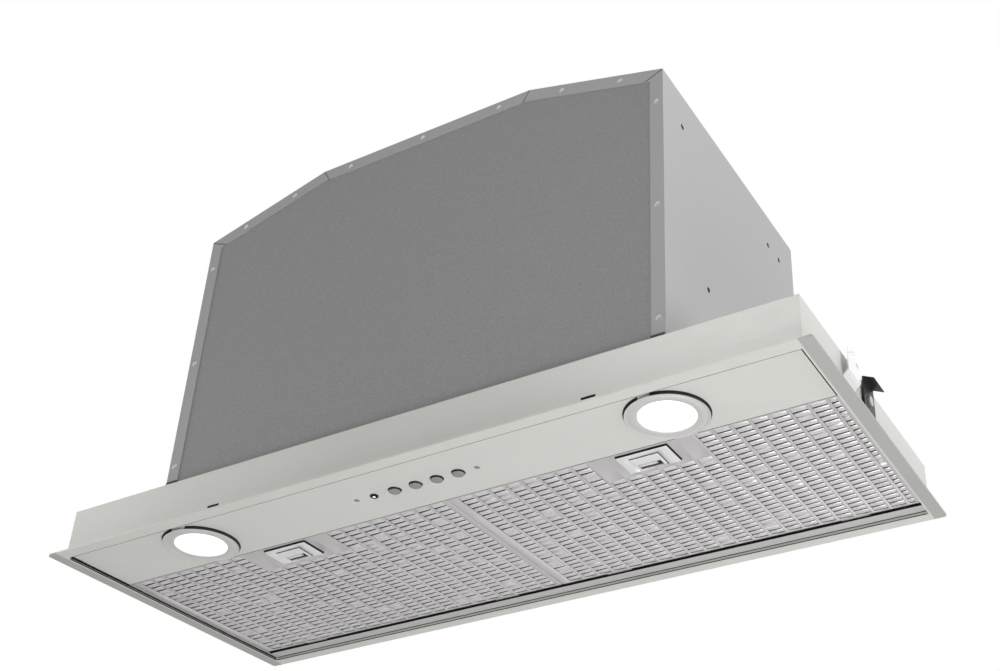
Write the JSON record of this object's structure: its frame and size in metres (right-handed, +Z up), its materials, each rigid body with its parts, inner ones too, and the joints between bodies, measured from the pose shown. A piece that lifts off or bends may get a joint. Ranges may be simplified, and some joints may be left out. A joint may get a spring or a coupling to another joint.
{
  "type": "range hood insert",
  "caption": "Built-in extractor insert with flanged canopy, hinged grease filters, push buttons, lamps, fan housing and round duct collar with back-draught flaps",
  "frame": {"origin": "bottom centre of the bounding box, on the underside of the flange", "axes": "+X along the flange's length to the right as seen from the front, +Y from the control side to the back, +Z up towards the duct collar"},
  "size_m": [0.7, 0.29, 0.3998],
  "materials": {
    "steel_satin": "satin stainless sheet, fine straight grain",
    "galvanised": "galvanised sheet, faint spangle, matt",
    "filter_aluminium": "pressed aluminium sheet, satin",
    "mesh_aluminium": "expanded aluminium mesh",
    "bezel_chrome": "polished metal ring",
    "lens_white": "frosted white diffuser",
    "plastic_black": "moulded black plastic, fine texture",
    "plastic_grey": "moulded silver-grey plastic, satin",
    "lens_clear": "clear moulded light guide",
    "screw_zinc": "zinc-plated steel",
    "spring_steel": "dark spring steel",
    "board_green": "coated circuit board",
    "wheel_plastic": "moulded grey plastic",
    "motor_alloy": "die-cast alloy, matt",
    "shaft_steel": "ground steel",
    "capacitor_grey": "drawn aluminium can"
  },
  "bodies": {
    "canopy": {"canopy_shell": "steel_satin", "rear_ledge": "steel_satin", "control_panel": "steel_satin", "panel_brackets": "galvanised", "switch_housing": "plastic_black", "indicator_lens": "lens_clear", "switch_screws": "screw_zinc", "lamp_bezel_left": "bezel_chrome", "lamp_lens_left": "lens_white", "lamp_bezel_right": "bezel_chrome", "lamp_lens_right": "lens_white", "lamp_cans": "plastic_black", "lamp_boards": "board_green", "lamp_clips": "spring_steel", "housing_wrap": "galvanised", "housing_front": "galvanised", "housing_back": "galvanised", "housing_rivets": "screw_zinc", "foot_clips": "spring_steel", "outlet_plate": "plastic_black", "outlet_collar": "plastic_black", "damper_pin": "shaft_steel", "outlet_screws": "screw_zinc", "outlet_adapter": "galvanised", "scroll_left": "galvanised", "scroll_right": "galvanised", "motor": "motor_alloy", "motor_bracket": "galvanised", "motor_capacitor": "capacitor_grey", "electronics_box": "plastic_black", "circuit_board": "board_green", "cable_gland": "plastic_black", "clip_bases": "spring_steel", "clip_screws": "screw_zinc", "catch_plates": "galvanised"},
    "filter_left": {"filter_frame_left": "filter_aluminium", "filter_face_left": "filter_aluminium", "filter_mesh_left": "mesh_aluminium", "filter_back_left": "filter_aluminium", "filter_handle_left": "steel_satin", "latch_spring_left": "spring_steel"},
    "latch_left": {"filter_latch_left": "plastic_grey"},
    "damper_left": {"damper_flap_left": "plastic_black"},
    "clip_left": {"clip_flap_left": "spring_steel"},
    "filter_right": {"filter_frame_right": "filter_aluminium", "filter_face_right": "filter_aluminium", "filter_mesh_right": "mesh_aluminium", "filter_back_right": "filter_aluminium", "filter_handle_right": "steel_satin", "latch_spring_right": "spring_steel"},
    "latch_right": {"filter_latch_right": "plastic_grey"},
    "damper_right": {"damper_flap_right": "plastic_black"},
    "clip_right": {"clip_flap_right": "spring_steel"},
    "button_1": {"button_1": "plastic_grey"},
    "button_2": {"button_2": "plastic_grey"},
    "button_3": {"button_3": "plastic_grey"},
    "button_4": {"button_4": "plastic_grey"},
    "wheel": {"impeller": "wheel_plastic", "impeller_blades": "wheel_plastic", "motor_shaft": "shaft_steel"}
  },
  "joints": [
    {"name": "filter_left_tilt", "type": "hinge", "parent": "canopy", "child": "filter_left", "pos_m": [-0.16655, 0.1226, 0.0042], "axis": [1, 0, 0], "range_deg": [0, 80]},
    {"name": "latch_left_slide", "type": "slide", "parent": "filter_left", "child": "latch_left", "axis": [0, 1, 0], "range_m": [0, 0.0015], "stiffness_N_per_m": 300, "springref_m": -0.004, "deforming": ["latch_spring_left"]},
    {"name": "filter_right_tilt", "type": "hinge", "parent": "canopy", "child": "filter_right", "pos_m": [0.1707, 0.1226, 0.0042], "axis": [1, 0, 0], "range_deg": [0, 80]},
    {"name": "latch_right_slide", "type": "slide", "parent": "filter_right", "child": "latch_right", "axis": [0, 1, 0], "range_m": [0, 0.0015], "stiffness_N_per_m": 300, "springref_m": -0.004, "deforming": ["latch_spring_right"]},
    {"name": "button_1_press", "type": "slide", "parent": "canopy", "child": "button_1", "axis": [0, 0, 1], "range_m": [0, 0.0015], "stiffness_N_per_m": 400, "springref_m": -0.002},
    {"name": "button_2_press", "type": "slide", "parent": "canopy", "child": "button_2", "axis": [0, 0, 1], "range_m": [0, 0.0015], "stiffness_N_per_m": 400, "springref_m": -0.002},
    {"name": "button_3_press", "type": "slide", "parent": "canopy", "child": "button_3", "axis": [0, 0, 1], "range_m": [0, 0.0015], "stiffness_N_per_m": 400, "springref_m": -0.002},
    {"name": "button_4_press", "type": "slide", "parent": "canopy", "child": "button_4", "axis": [0, 0, 1], "range_m": [0, 0.0015], "stiffness_N_per_m": 400, "springref_m": -0.002},
    {"name": "wheel_spin", "type": "hinge", "parent": "canopy", "child": "wheel", "pos_m": [0, -0.012, 0.175], "axis": [1, 0, 0], "continuous": true},
    {"name": "damper_left_swing", "type": "hinge", "parent": "canopy", "child": "damper_left", "pos_m": [0, 0, 0.355], "axis": [0, 1, 0], "range_deg": [0, 78]},
    {"name": "damper_right_swing", "type": "hinge", "parent": "canopy", "child": "damper_right", "pos_m": [0, 0, 0.355], "axis": [0, -1, 0], "range_deg": [0, 78]},
    {"name": "clip_left_flex", "type": "hinge", "parent": "canopy", "child": "clip_left", "pos_m": [-0.342, -0.0063, 0.0442], "axis": [0, -1, 0], "range_deg": [0, 45], "stiffness_Nm_per_rad": 0.15, "springref_deg": -5.73},
    {"name": "clip_right_flex", "type": "hinge", "parent": "canopy", "child": "clip_right", "pos_m": [0.342, -0.0063, 0.0442], "axis": [0, 1, 0], "range_deg": [0, 45], "stiffness_Nm_per_rad": 0.15, "springref_deg": -5.73}
  ]
}
